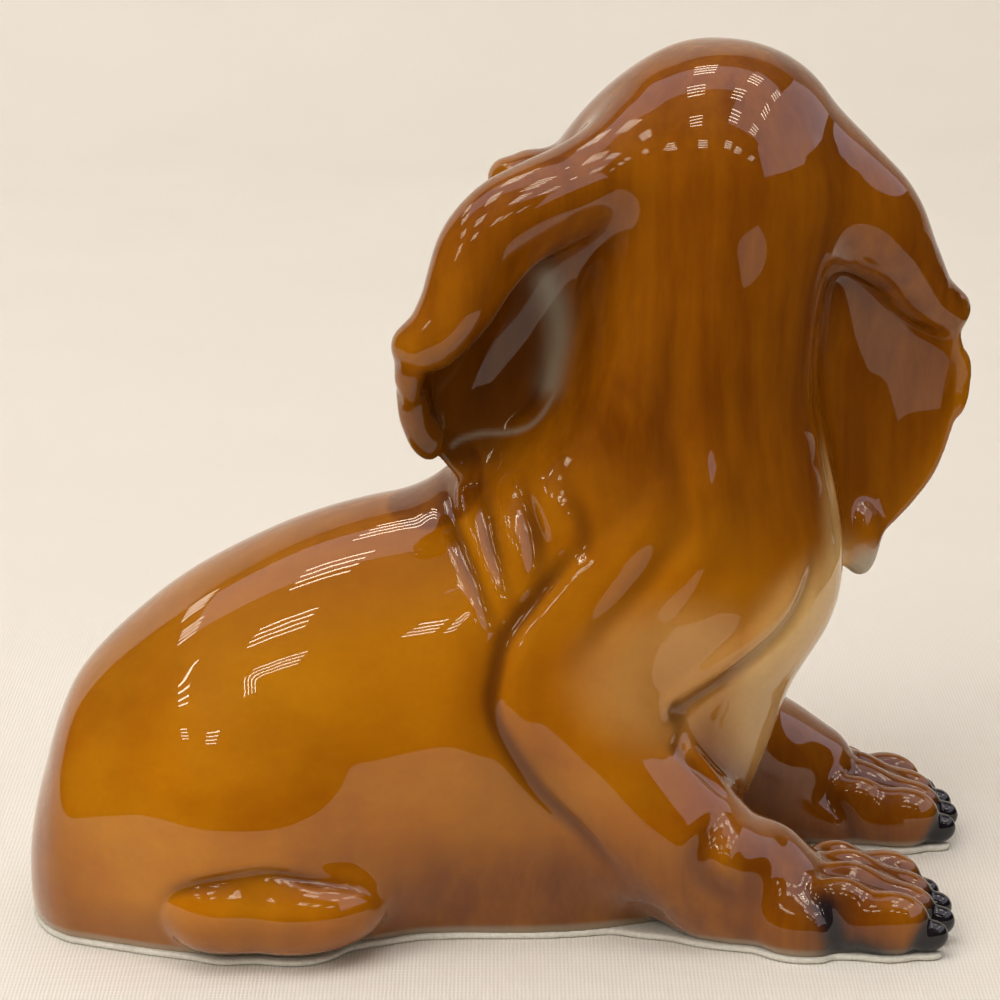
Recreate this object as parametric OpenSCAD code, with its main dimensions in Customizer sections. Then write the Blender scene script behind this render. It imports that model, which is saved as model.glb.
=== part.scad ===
// Ceramic dog figurine: a lying dachshund puppy looking back over its left shoulder.
// Slip-cast porcelain sections luted together along flat and saddle-shaped seams, glazed,
// standing on a bare unglazed slab with one firing vent.
// +X is the way the body points, +Y the dog's left, +Z up. Origin: centre of the underside.

/* [Body] */
// Overall size of the figurine against the modelled one
scale_all = 1; // [0.9:0.05:1.1]
// Thickness of the cast wall of the body and the head
wall = 4; // [3:0.5:5]
// How far the rump and barrel stand out to each side
barrel_half_w = 28; // [26:1:31]
// Height of the seam where the head section sits on the neck
neck_seam_z = 96; // [92:1:99]

/* [Head] */
// Turn of the head past straight-left, seen from above
head_yaw = 45; // [35:2:55]
// Length of the muzzle ahead of the stop
muzzle_len = 20; // [17:1:24]
// Half width of the skull
skull_half_w = 20; // [18:0.5:22]

/* [Ears] */
// Thickness of the ear flaps
ear_t = 4.2; // [3.4:0.2:5]

/* [Legs and tail] */
// Half width of a forepaw
paw_half_w = 12.5; // [11:0.5:14]
// Radius of a claw at its root
claw_r = 2.1; // [1.7:0.1:2.5]
// Radius of the tail at its root
tail_r = 6; // [5:0.5:7]

/* [Base] */
// Thickness of the bare slab under the figure
slab_t = 1.6; // [1.2:0.2:2.4]
// Diameter of the firing vent through the slab
vent_d = 7; // [5:0.5:9]

/* [Hidden] */
amber = [0.66, 0.40, 0.10];
russet = [0.45, 0.22, 0.06];
bare = [0.86, 0.85, 0.82];
head_at = [34, 8, 117.8];
stop_u = 31;
mid = [0.95, 5.6];
FX = [1, 0, 0];
FZ = [0, 0, 1];

// ---- curves and lofts -------------------------------------------------------------
function unit(v) = v / norm(v);
function pick(S, i) = S[max(0, min(len(S) - 1, i))];
function cr(a, b, c, d, t) = 0.5 * (2 * b + (c - a) * t + (2 * a - 5 * b + 4 * c - d) * t * t
  + (3 * b - 3 * c + d - a) * t * t * t);
function spline(S, n) = concat([
    for (i = [0:len(S) - 2])
    for (k = [0:n - 1]) cr(pick(S, i - 1), S[i], S[i + 1], pick(S, i + 2), k / n)
  ], [S[len(S) - 1]]);
function xyz(s) = [s[0], s[1], s[2]];
function heading(S, i) = unit(xyz(pick(S, i + 1)) - xyz(pick(S, i - 1)));
function oval(c, side, up, a, b, m) = [for (j = [0:m - 1]) c + side * a * cos(360 * j / m) + up * b * sin(360 * j / m)];
// rings of a round end of length l, from the rim inwards (dir -1 at the start, 1 at the end)
function end_rings(c, t, side, up, a, b, l, dir, m, q) = [
    for (k = [1:q - 1])
    let (w = 90 * k / q)
    oval(c + t * dir * l * sin(w), side, up, a * cos(w), b * cos(w), m)
  ];
function rev(L) = [for (i = [len(L) - 1:-1:0]) L[i]];
function flat(L) = [for (a = L) for (b = a) b];

// closes a list of rings with a point at either end
module skin(R, p0, p1) {
  m = len(R[0]);
  k = len(R);
  pts = concat([p0], flat(R), [p1]);
  sides = [
    for (i = [0:k - 2])
    for (j = [0:m - 1])
    let (a = 1 + i * m + j, b = 1 + i * m + (j + 1) % m)
    each [[a, b + m, b], [a, a + m, b + m]]
  ];
  first = [for (j = [0:m - 1]) [0, 1 + j, 1 + (j + 1) % m]];
  last = [for (j = [0:m - 1]) [1 + k * m, 1 + (k - 1) * m + (j + 1) % m, 1 + (k - 1) * m + j]];
  polyhedron(points = pts, faces = concat(sides, first, last), convexity = 6);
}

// tube through stations [x, y, z, half width, half height]; g draws it smaller by a wall
module tube(S, ref = [0, 0, 1], axis = undef, n = 4, m = 28, q = 4, l0 = 1, l1 = 1, g = 0) {
  P = spline(S, n);
  k = len(P) - 1;
  T = [for (i = [0:k]) axis == undef ? heading(P, i) : axis];
  U = [for (i = [0:k]) unit(cross(ref, T[i]))];
  V = [for (i = [0:k]) cross(T[i], U[i])];
  A = [for (i = [0:k]) max(0.8, P[i][3] - g)];
  B = [for (i = [0:k]) max(0.8, P[i][4] - g)];
  e0 = max(0.4, l0 * min(A[0], B[0]));
  e1 = max(0.4, l1 * min(A[k], B[k]));
  R = concat(
    rev(end_rings(xyz(P[0]), T[0], U[0], V[0], A[0], B[0], e0, -1, m, q)),
    [for (i = [0:k]) oval(xyz(P[i]), U[i], V[i], A[i], B[i], m)],
    end_rings(xyz(P[k]), T[k], U[k], V[k], A[k], B[k], e1, 1, m, q)
  );
  skin(R, xyz(P[0]) - T[0] * e0, xyz(P[k]) + T[k] * e1);
}

// leaf between a ridge and a lower edge: stations [ridge, edge, thickness, hollow]
module leaf(S, away, n = 4, m = 28, q = 3) {
  P = spline([for (s = S) [s[0][0], s[0][1], s[0][2], s[1][0], s[1][1], s[1][2], s[2], s[3]]], n);
  k = len(P) - 1;
  top = [for (p = P) [p[0], p[1], p[2]]];
  low = [for (p = P) [p[3], p[4], p[5]]];
  function leaf_ring(i, f, slide) =
    let (
      c = (top[i] + low[i]) / 2, h = (top[i] - low[i]) / 2, d = unit(h),
      w = unit(away - d * (away * d)), along = cross(d, w)
    )
    [
      for (j = [0:m - 1])
      let (s = cos(360 * j / m), r = sin(360 * j / m))
      c + along * slide + h * s * f
        + w * (P[i][6] / 2 * r * f * (1 + 0.9 * pow((1 + s) / 2, 3)) + P[i][7] * (1 - s * s))
    ];
  function ends(i, dir) = [
      for (j = [1:q - 1])
      let (w = 90 * j / q)
      leaf_ring(i, cos(w), dir * P[i][6] * 0.5 * sin(w))
    ];
  body = [for (i = [0:k]) leaf_ring(i, 1, 0)];
  sg = cross(unit(top[0] - low[0]), away) * (top[k] - top[0]) > 0 ? 1 : -1;
  R = concat(rev(ends(0, -sg)), body, ends(k, sg));
  mid0 = leaf_ring(0, 0, -sg * P[0][6] * 0.5)[0] + away * 0;
  mid1 = leaf_ring(k, 0, sg * P[k][6] * 0.5)[0] + away * 0;
  w0 = away * P[0][7];
  w1 = away * P[k][7];
  if (sg > 0) skin(R, mid0 + w0, mid1 + w1);
  else skin([for (r = R) rev(r)], mid0 + w0, mid1 + w1);
}
module above(z = 0) {
  translate([-200, -200, z])
    cube([400, 400, 400]);
}
module below(z) {
  translate([-200, -200, z - 400])
    cube([400, 400, 400]);
}
// drawn as one mesh, at its own size, and set over the middle of the underside
module cast() {
  scale(scale_all)
    translate([-mid[0], -mid[1], 0])
      resize([0, 0, 0])
        children();
}

// ---- outer and inner forms of the body --------------------------------------------
bw = barrel_half_w;
barrel_line = [
  [-74.8, -2, 6.6, 5.6, 6], [-73.9, -2, 8.2, 10, 9.8], [-72.2, -2, 10.4, 14.6, 14.8],
  [-69.6, -2, 13.2, 18.8, 20.4], [-65.8, -2, 15.4, 0.77 * bw, 25.2],
  [-58, -1.5, 18.5, 0.89 * bw, 30], [-47, -1, 22.5, bw, 34], [-31, 0, 26.5, 1.03 * bw, 37.5],
  [-15, 1, 29.5, 1.01 * bw, 38.5], [0, 2, 32, 0.94 * bw, 37], [14, 3, 33, 0.86 * bw, 34]
];
column_line = [
  [6, 3, -6, 25, 19], [8, 4, 10, 29, 22], [12, 5, 25, 31, 24], [15.7, 6, 36, 31.2, 26],
  [19.8, 6, 47, 33.3, 26.4], [21.8, 6, 56, 32.9, 25.8], [22.6, 6, 66, 30.9, 24], [23.5, 6, 74, 28.2, 22],
  [27, 6, 84, 22.6, 19.8], [29.5, 6, 95, 20.6, 18.8], [31.5, 6, 106, 20, 18.4], [33.5, 6.5, 117, 18.6, 17.6]
];
module barrel(g = 0) {
  tube(barrel_line, axis = FX, n = g > 0 ? 1 : 2, m = g > 0 ? 20 : 36, q = 3, l0 = 0.1, l1 = 0.6, g = g);
}
module column(g = 0) {
  tube(column_line, ref = [0, 1, 0], axis = FZ, n = g > 0 ? 1 : 2, m = g > 0 ? 20 : 32, q = 3, l0 = 0.2, l1 = 0.5, g = g);
}
module body_form(g = 0) {
  barrel(g);
  column(g);
}

// ---- head -------------------------------------------------------------------------
function skull_line() = [
    [-17.2, 0, 1.6, 0.44 * skull_half_w, 9], [-14.4, 0, 1.6, 0.68 * skull_half_w, 13.4],
    [-10, 0, 1.5, 0.84 * skull_half_w, 16.5], [-4, 0, 1.3, 0.95 * skull_half_w, 18.6],
    [3, 0, 0.9, skull_half_w, 19.4], [12, 0, -0.4, 0.97 * skull_half_w, 17.8],
    [21, 0, -3, 0.9 * skull_half_w, 15.2], [29, 0, -6.2, 0.75 * skull_half_w, 12.4],
    [stop_u + muzzle_len * 0.4, 0, -9.4, 11.2, 9.8], [stop_u + muzzle_len * 0.8, 0, -11.4, 9.9, 8.4]
  ];
module in_head() {
  translate(head_at)
    rotate([0, 0, 90 + head_yaw])
      rotate([0, 13, 0])
        children();
}
module skull(g = 0) {
  in_head()
    tube(skull_line(), axis = FX, n = g > 0 ? 1 : 2, m = g > 0 ? 20 : 32, l0 = 0.3, l1 = 0.5, g = g);
}
module nose_and_brows() {
  in_head() {
    translate([stop_u + muzzle_len - 1.6, 0, -7.4])
      scale([0.9, 1.05, 0.8])
        sphere(r = 4.4, $fn = 28);
    for (s = [-1, 1])
      translate([27.6, s * 13, 2.6])
        scale([1.35, 1, 1])
          sphere(r = 4.8, $fn = 22);
    for (s = [-1, 1])
      translate([30.7, s * 11.6, -0.5])
        sphere(r = 3.4, $fn = 20);
  }
}
module head_form(g = 0) {
  skull(g);
  column(g);
}

// ---- ears -------------------------------------------------------------------------
left_ear_line = [
  [[20, -1, 122], [18, 0, 103], ear_t, 1.5], [[11.4, -6, 118.5], [11, -1, 90], ear_t, 4],
  [[3.5, -11.5, 115], [4, -2, 79], ear_t, 6.5], [[-4, -15.5, 109.5], [-3, -4, 73], ear_t, 7],
  [[-8.4, -18, 101.5], [-9.2, -7, 75], ear_t, 5.5], [[-13.2, -19.5, 95.5], [-14, -13, 82.5], ear_t, 2.5]
];
right_ear_line = [
  [[50, 7, 122], [46, 9, 96], ear_t, 2], [[56.2, 8, 117.5], [49, 11, 73], ear_t, 4.5],
  [[62.2, 10, 109.6], [55.5, 14.5, 54], ear_t, 7], [[67.8, 13, 100.5], [63, 18, 57.5], ear_t, 7],
  [[73.4, 16, 92], [70.6, 19.5, 66], ear_t, 4], [[75, 18, 87], [74.2, 19, 76], ear_t, 1.2]
];
// the rolled fold along the top of each ear
module left_roll() {
  tube([
      [21, 0, 121.5, 7.5, 7.5], [11.4, -6, 118.6, 6.8, 6.2], [6.2, -9.6, 117, 6.6, 6], [0.7, -12.6, 114.6, 6.5, 6],
      [-3.4, -15, 111.2, 6.1, 5.4], [-5.8, -17, 106.4, 5.6, 4.9], [-7.6, -18, 102, 5.2, 4.5],
      [-10, -19, 98.4, 4.6, 4], [-13, -19.5, 96.2, 3.8, 3.4]
    ], n = 1, m = 22, q = 3);
}
module right_roll() {
  tube([
      [43, 12, 116, 7, 7.5], [49.5, 10.5, 116, 9, 8.8], [54.8, 9.6, 113, 9.2, 8.6], [59.4, 10.5, 108.4, 7.8, 7.8],
      [63.8, 13, 102.6, 5.9, 5.7], [67.6, 15.5, 97.2, 4.6, 4.4], [71.6, 17, 94.2, 3.5, 3.3]
    ], n = 2, m = 22, q = 3);
}

// ---- legs and tail ----------------------------------------------------------------
module paw(at, turn, k = 1) {
  translate(at)
    rotate([0, 0, turn])
      scale(k) {
        if (k == 1) {
          tube([
              [-17, 0, 8, 10.2, 8.6], [-9, 0, 6, paw_half_w - 1.1, 7.2], [0, 0, 5.2, paw_half_w - 0.5, 6.6],
              [5, 0, 4.4, 10.8, 5.2]
            ], n = 2, m = 22, q = 3, l1 = 0.9);
        }
        // knuckles, toes and claws
        for (i = [-1.5:1:1.5]) {
          back = 1.5 * abs(i);
          translate([-2.4 - back, i * 5.5, 9])
            scale([1.6, 1, 1.45 - 0.15 * abs(i)])
              sphere(r = 3, $fn = 12);
          translate([5.6 - back, i * 6.1, 5.2])
            scale([1.85, 1, 1.3])
              sphere(r = 3.5, $fn = 14);
          translate([11.2 - back, i * 6.15, 3.9])
            scale([1.6, 0.85, 1.05])
              sphere(r = claw_r, $fn = 12);
        }
      }
}
// upper arm, elbow, forearm and wrist
module right_foreleg_form() {
  tube([
      [16, -4, 50, 11, 12], [13, -9, 40, 13, 13], [15, -12.5, 30.5, 13.2, 12.8],
      [23.5, -15, 19, 12.6, 12], [33, -16, 11.5, 11.2, 10.4], [40, -16, 8.8, 10.4, 8.6]
    ], ref = [0, -1, 0.01], n = 3, m = 26, q = 3);
  paw([57.6, -16, 0], -2);
}
module left_foreleg_form() {
  tube([
      [20, 14, 48, 11, 12], [22, 19, 38, 12, 12.5], [28, 23, 29, 12, 12.5],
      [37, 27, 18.5, 12, 12], [45, 29.5, 13.4, 11, 11], [50.5, 31, 10, 10.2, 9.4]
    ], ref = [0, 1, 0.01], n = 3, m = 26, q = 3);
  paw([63.4, 32, 0], 4);
}
module hind_form(s) {
  // haunch
  tube([
      [-56, s * 12 - 1, 16, 12.5, 16], [-46, s * 15.6 - 1, 19, 15.3, 20.4], [-34, s * 15.6, 18, 15.6, 19.4],
      [-24, s * 12.6, 15.4, 13, 14]
    ], axis = FX, n = 2, m = 22, q = 3, l0 = 0.8, l1 = 0.8);
  // the foot: lying flat under the skin on the right, stretched out with its toes on the left
  if (s < 0) {
    translate([-35, -27.2, 9.2])
      scale([2.67, 1.32, 1.12])
        sphere(r = 6, $fn = 28);
  } else {
    tube([[-44, 22, 6, 7, 7], [-34, 24.4, 6, 7.8, 7], [-25, 26.4, 5, 7.2, 5.8]], axis = FX, n = 2, m = 18, q = 3);
    paw([-24, 27.2, 0], 3, 0.66);
  }
}
tail_line = [
  [-66, 8, 7, tail_r, tail_r], [-61, 18, 6.4, 0.88 * tail_r, 0.86 * tail_r],
  [-51, 27, 5.6, 0.78 * tail_r, 0.76 * tail_r], [-38, 32.5, 4.8, 0.64 * tail_r, 0.64 * tail_r],
  [-25, 34, 4, 0.48 * tail_r, 0.5 * tail_r], [-15, 33, 3.4, 0.3 * tail_r, 0.36 * tail_r]
];
module tail_form() {
  tube(tail_line, n = 4, m = 20);
}

// ---- nodes ------------------------------------------------------------------------
outline = [
  [-74.4, -4], [-71.8, -14], [-66, -20.4], [-57, -24], [-46, -27], [-36, -26.8], [-25, -24], [-14, -20],
  [-3, -17.7], [10, -17.5], [21, -15.5], [29, -19.5], [37, -23.6], [46, -27.6], [58, -27.2], [65.6, -25.4],
  [68, -18], [67.2, -8], [60, -5], [48, -6.2], [38, -7.6], [34, -2], [34.4, 8], [38, 18], [46, 22.6],
  [58, 21.6], [68, 20.9], [73, 25], [73.2, 35], [68.4, 43], [58, 43.7], [47, 41.6], [38, 33], [24, 25.4],
  [8, 24.2], [-6, 23.6], [-15, 25], [-18, 33], [-26, 36.4], [-38, 35.4], [-50, 30.8], [-60, 23.4],
  [-68, 15.6], [-73.4, 6]
];
function around(P, n) = [
    for (i = [0:len(P) - 1])
    for (k = [0:n - 1])
    cr(P[(i + len(P) - 1) % len(P)], P[i], P[(i + 1) % len(P)], P[(i + 2) % len(P)], k / n)
  ];
module base_slab() {
  color(bare)
    scale(scale_all)
      translate([-mid[0], -mid[1], 0])
      difference() {
        linear_extrude(height = slab_t)
          polygon(around(outline, 4));
        translate([-20, 0, -1])
          cylinder(d = vent_d, h = slab_t + 2, $fn = 48);
      }
}
module torso_shell() {
  color(amber)
    cast()
      difference() {
        intersection() {
          body_form();
          above(slab_t);
          below(neck_seam_z);
        }
        body_form(wall);
      }
}
module head_shell() {
  color(russet)
    cast()
      difference() {
        union() {
          intersection() {
            head_form();
            above(neck_seam_z);
          }
          // the muzzle hangs lower than the seam, clear of the neck
          intersection() {
            skull();
            in_head()
              translate([28, -30, -40])
                cube([40, 60, 40]);
          }
          nose_and_brows();
        }
        head_form(wall);
      }
}
module left_ear() {
  color(russet)
    cast()
      difference() {
        union() {
          leaf(left_ear_line, [0, 1, 0]);
          left_roll();
        }
        head_form();
        body_form();
      }
}
module right_ear() {
  color(russet)
    cast()
      difference() {
        union() {
          leaf(right_ear_line, [0, 1, 0]);
          right_roll();
        }
        head_form();
        body_form();
      }
}
module foreleg() {
  color(amber)
    cast()
      difference() {
        intersection() {
          children();
          above(slab_t);
        }
        body_form();
      }
}
module right_foreleg() {
  foreleg()
    right_foreleg_form();
}
module left_foreleg() {
  foreleg()
    left_foreleg_form();
}
module hind_leg(s) {
  color(amber)
    cast()
      difference() {
        intersection() {
          hind_form(s);
          above(slab_t);
        }
        body_form();
      }
}
module right_hind_leg() {
  hind_leg(-1);
}
module left_hind_leg() {
  hind_leg(1);
}
module tail() {
  color(amber)
    cast()
      difference() {
        intersection() {
          tail_form();
          above(0.2);
        }
        body_form();
        hind_form(1);
        linear_extrude(height = slab_t)
          polygon(around(outline, 4));
      }
}

base_slab();
torso_shell();
head_shell();
left_ear();
right_ear();
right_foreleg();
left_foreleg();
right_hind_leg();
left_hind_leg();
tail();
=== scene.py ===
"""Glazed porcelain puppy: the visual model of the ceramic dog figurine.

The figure is sculpted as signed distance fields on a grid, in millimetres. The joined field is
meshed, cut into the part's pieces along the pieces' own fields, and coloured by masks that are
kept as point attributes and read by the glaze.
"""
import math

import bmesh
import bpy
import numpy as np
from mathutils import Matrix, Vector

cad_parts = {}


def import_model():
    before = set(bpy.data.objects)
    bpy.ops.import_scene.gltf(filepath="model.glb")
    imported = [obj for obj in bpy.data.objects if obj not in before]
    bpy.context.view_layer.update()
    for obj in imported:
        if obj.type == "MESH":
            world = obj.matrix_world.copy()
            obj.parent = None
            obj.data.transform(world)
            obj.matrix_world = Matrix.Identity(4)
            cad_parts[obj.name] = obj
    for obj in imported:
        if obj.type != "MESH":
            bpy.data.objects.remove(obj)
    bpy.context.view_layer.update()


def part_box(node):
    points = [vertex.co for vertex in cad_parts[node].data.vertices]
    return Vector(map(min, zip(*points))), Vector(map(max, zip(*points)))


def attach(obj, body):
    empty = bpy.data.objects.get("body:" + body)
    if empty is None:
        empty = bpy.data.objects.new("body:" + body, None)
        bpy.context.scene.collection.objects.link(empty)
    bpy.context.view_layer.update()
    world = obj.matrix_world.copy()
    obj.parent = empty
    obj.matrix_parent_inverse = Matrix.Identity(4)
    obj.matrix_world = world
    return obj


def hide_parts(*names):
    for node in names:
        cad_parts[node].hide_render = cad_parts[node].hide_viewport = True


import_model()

import openvdb
from mathutils import Vector

# ---- sculpting grid (millimetres, the part's own frame before centring) -------------------
H = 0.5  # grid step
BAND = 16  # half width of a field, in grid steps
LO = np.array([-80.0, -36.0, -2.0])  # corners of the grid
HI = np.array([84.0, 60.0, 146.0])
DIM = np.ceil((HI - LO) / H).astype(int)
I0 = np.round(LO / H).astype(int)
f32 = np.float32


def axes(sl=None):
    """World coordinates of the grid's samples, as three arrays that broadcast."""
    out = []
    for a in range(3):
        s = sl[a] if sl else slice(0, int(DIM[a]))
        v = ((np.arange(s.start, s.stop) + I0[a]) * H).astype(f32)
        shape = [1, 1, 1]
        shape[a] = len(v)
        out.append(v.reshape(shape))
    return out


def region(lo, hi):
    """The slice of the grid that holds a box."""
    a = np.clip(np.floor(np.array(lo) / H).astype(int) - I0, 0, DIM - 1)
    b = np.clip(np.ceil(np.array(hi) / H).astype(int) - I0 + 1, 1, DIM)
    return tuple(slice(int(x), int(max(x + 1, y))) for x, y in zip(a, b))


# ---- lofts ------------------------------------------------------------------------------
def unit(v):
    """The vector at length one."""
    v = np.asarray(v, float)
    return v / (np.linalg.norm(v) + 1e-12)


def spline(rows, n):
    """Catmull-Rom curve through the rows, n steps a span."""
    P = np.array(rows, float)
    Q = np.vstack([P[:1], P, P[-1:]])
    t = np.arange(n)[:, None] / n
    out = []
    for i in range(len(P) - 1):
        a, b, c, d = Q[i:i + 4]
        out.append(0.5 * (2 * b + (c - a) * t + (2 * a - 5 * b + 4 * c - d) * t * t
                          + (3 * b - 3 * c + d - a) * t ** 3))
    return np.vstack(out + [P[-1:]])


def skin(rings, p0, p1):
    """Points, triangles and quads of a closed skin over rings."""
    R = np.array(rings, float)
    k, m = R.shape[:2]
    pts = np.vstack([R.reshape(-1, 3), p0, p1]).astype(f32)
    i, j = np.meshgrid(np.arange(k - 1), np.arange(m), indexing="ij")
    a = (i * m + j).ravel()
    b = (i * m + (j + 1) % m).ravel()
    quads = np.stack([a, b, b + m, a + m], 1)
    j = np.arange(m)
    first = np.stack([np.full(m, k * m), (j + 1) % m, j], 1)
    e = (k - 1) * m
    last = np.stack([np.full(m, k * m + 1), e + j, e + (j + 1) % m], 1)
    return pts, np.vstack([first, last]).astype(np.uint32), quads.astype(np.uint32)


def tube(rows, ref=(0, 0, 1), axis=None, n=10, m=96, q=10, l0=1.0, l1=1.0):
    """Round-ended tube through stations x, y, z, half width, half height.

    n steps a span, m points a ring, q rings an end, and l0 and l1 as the ends' lengths in radii.
    """
    P = spline(rows, n)
    C = P[:, :3]
    if axis is None:
        T = np.gradient(C, axis=0)
        T /= np.linalg.norm(T, axis=1)[:, None]
    else:
        T = np.tile(unit(axis), (len(C), 1))
    U = np.cross(np.asarray(ref, float), T)
    U /= np.linalg.norm(U, axis=1)[:, None]
    V = np.cross(T, U)
    w = np.linspace(0, 2 * math.pi, m, endpoint=False)
    ca, sa = np.cos(w), np.sin(w)

    def ring(i, s, f):
        return C[i] + T[i] * s + f * (U[i] * P[i, 3] * ca[:, None] + V[i] * P[i, 4] * sa[:, None])

    e0 = max(0.4, l0 * min(P[0, 3], P[0, 4]))
    e1 = max(0.4, l1 * min(P[-1, 3], P[-1, 4]))
    k = len(P) - 1
    a = [math.pi / 2 * x / q for x in range(q - 1, 0, -1)]
    rings = [ring(0, -e0 * math.sin(x), math.cos(x)) for x in a]
    rings += [ring(i, 0, 1) for i in range(k + 1)]
    rings += [ring(k, e1 * math.sin(x), math.cos(x)) for x in reversed(a)]
    return skin(rings, C[0] - T[0] * e0, C[-1] + T[-1] * e1)


def leaf(rows, away, n=10, m=96, q=8):
    """Curved leaf between a ridge and an edge: rows of ridge, edge, thickness, hollow."""
    P = spline([[*r[0], *r[1], r[2], r[3]] for r in rows], n)
    away = unit(away)
    w = np.linspace(0, 2 * math.pi, m, endpoint=False)
    s = np.cos(w)[:, None]
    r = np.sin(w)[:, None]

    def ring(i, f, slide):
        top, low = P[i, :3], P[i, 3:6]
        c, h = (top + low) / 2, (top - low) / 2
        d = unit(h)
        out = unit(away - d * (away @ d))
        along = np.cross(d, out)
        return (c + along * slide + h * s * f + out * (P[i, 6] / 2 * np.sign(r) * np.abs(r) ** 0.6 * f
                                                      + P[i, 7] * (1 - s * s)))

    k = len(P) - 1
    sg = 1 if np.cross(unit(P[0, :3] - P[0, 3:6]), away) @ (P[k, :3] - P[0, :3]) > 0 else -1
    a = [math.pi / 2 * x / q for x in range(q - 1, 0, -1)]
    rings = [ring(0, math.cos(x), -sg * P[0, 6] * 0.5 * math.sin(x)) for x in a]
    rings += [ring(i, 1, 0) for i in range(k + 1)]
    rings += [ring(k, math.cos(x), sg * P[k, 6] * 0.5 * math.sin(x)) for x in reversed(a)]
    p0 = ring(0, 0, -sg * P[0, 6] * 0.5).mean(0) + away * P[0, 7] * 0.5
    p1 = ring(k, 0, sg * P[k, 6] * 0.5).mean(0) + away * P[k, 7] * 0.5
    return skin(rings, p0, p1)


def turned(mesh, fn):
    """The mesh with its points moved by fn."""
    pts, tri, quad = mesh
    return fn(pts.astype(float)).astype(f32), tri, quad


# ---- fields -----------------------------------------------------------------------------
def field(*meshes):
    """Signed distance of closed meshes on the grid, joined."""
    out = None
    tr = openvdb.createLinearTransform(voxelSize=H)
    for pts, tri, quad in meshes:
        g = openvdb.FloatGrid.createLevelSetFromPolygons(
            pts, triangles=tri, quads=quad, transform=tr, halfWidth=float(BAND))
        a = np.empty(tuple(DIM), f32)
        g.copyToArray(a, ijk=tuple(int(x) for x in I0))
        out = a if out is None else np.minimum(out, a)
    return out


def smin(a, b, k):
    """Union of two fields, blended over k millimetres."""
    h = np.maximum(k - np.abs(a - b), 0) / k
    return np.minimum(a, b) - h * h * (k * 0.25)


def smax(a, b, k):
    """Intersection of two fields, blended over k millimetres."""
    return -smin(-a, -b, k)


def blob(c, r, M=None, margin=7.0):
    """Slice and rough distance of an ellipsoid with half axes r, turned by M (rows are axes)."""
    r = np.asarray(r, float)
    big = float(r.max()) + margin
    sl = region(np.array(c) - big, np.array(c) + big)
    X, Y, Z = axes(sl)
    X, Y, Z = X - f32(c[0]), Y - f32(c[1]), Z - f32(c[2])
    if M is not None:
        M = np.asarray(M, f32)
        X, Y, Z = (m[0] * X + m[1] * Y + m[2] * Z for m in M)

    def size(rx, ry, rz):
        return np.sqrt((X / f32(rx)) ** 2 + (Y / f32(ry)) ** 2 + (Z / f32(rz)) ** 2) + f32(1e-5)

    k0, k1 = size(*r), size(*r ** 2)
    return sl, k0 * (k0 - 1) / k1


def add(F, c, r, k, M=None):
    """Adds an ellipsoid to the field."""
    sl, d = blob(c, r, M)
    F[sl] = smin(F[sl], d, k)


def cut(F, c, r, k, M=None):
    """Cuts an ellipsoid out of the field."""
    sl, d = blob(c, r, M)
    F[sl] = smax(F[sl], -d, k)


def trace(F, pts, n=6):
    """A curve of x, y, z[, width share, amount share] through points, laid onto the surface."""
    P = np.array([list(p) + [1.0, 1.0][len(p) - 3:] for p in pts], float)
    P = spline(P, n)
    for _ in range(4):
        g = slope(F, P[:, :3], H)
        f = np.clip(sample(F, P[:, :3]), -2.5, 2.5)
        P[:, :3] -= f[:, None] * g / np.maximum((g * g).sum(1), 0.3)[:, None]
    return P


def stroke(F, pts, width, amount):
    """Groove (amount > 0) or ridge (amount < 0) along a curve laid onto the surface."""
    P = trace(F, pts)
    reach = 2.6 * width * P[:, 3].max()
    sl = region(P[:, :3].min(0) - reach, P[:, :3].max(0) + reach)
    best = np.zeros(tuple(s.stop - s.start for s in sl), f32)
    for a, b in zip(P[:-1], P[1:]):
        s2 = region(np.minimum(a[:3], b[:3]) - reach, np.maximum(a[:3], b[:3]) + reach)
        s2 = tuple(slice(max(u.start, v.start), min(u.stop, v.stop)) for u, v in zip(s2, sl))
        if any(u.stop <= u.start for u in s2):
            continue
        x, y, z = axes(s2)
        d = b[:3] - a[:3]
        L = float(d @ d) + 1e-9
        t = np.clip(((x - a[0]) * d[0] + (y - a[1]) * d[1] + (z - a[2]) * d[2]) / L, 0, 1)
        q = (x - a[0] - t * d[0]) ** 2 + (y - a[1] - t * d[1]) ** 2 + (z - a[2] - t * d[2]) ** 2
        w = width * (a[3] + (b[3] - a[3]) * t)
        v = (a[4] + (b[4] - a[4]) * t) * np.exp(-q / (w * w))
        loc = tuple(slice(u.start - o.start, u.stop - o.start) for u, o in zip(s2, sl))
        best[loc] = np.maximum(best[loc], v.astype(f32))
    F[sl] += f32(amount) * best


def blur(F, sigma):
    """Separable Gaussian, sigma in millimetres."""
    s = sigma / H
    r = max(1, int(math.ceil(2.5 * s)))
    k = np.exp(-0.5 * (np.arange(-r, r + 1) / s) ** 2)
    k = (k / k.sum()).astype(f32)
    for ax in range(3):
        src = np.moveaxis(F, ax, 0)
        out = np.zeros_like(src)
        n = src.shape[0]
        for o, w in zip(range(-r, r + 1), k):
            a, b = max(0, -o), min(n, n - o)
            out[a:b] += w * src[a + o:b + o]
            if a:
                out[:a] += w * src[:1]
            if b < n:
                out[b:] += w * src[-1:]
        F = np.moveaxis(out, 0, ax)
    return np.ascontiguousarray(F)


def sample(A, P):
    """Trilinear value of a grid array at points in millimetres."""
    g = P / H - I0
    i = np.clip(np.floor(g).astype(int), 0, DIM - 2)
    t = (g - i).astype(f32)
    x, y, z = i.T
    u, v, w = t.T
    out = 0
    for a in (0, 1):
        for b in (0, 1):
            for c in (0, 1):
                share = (u if a else 1 - u) * (v if b else 1 - v) * (w if c else 1 - w)
                out = out + A[x + a, y + b, z + c] * share
    return out


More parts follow.
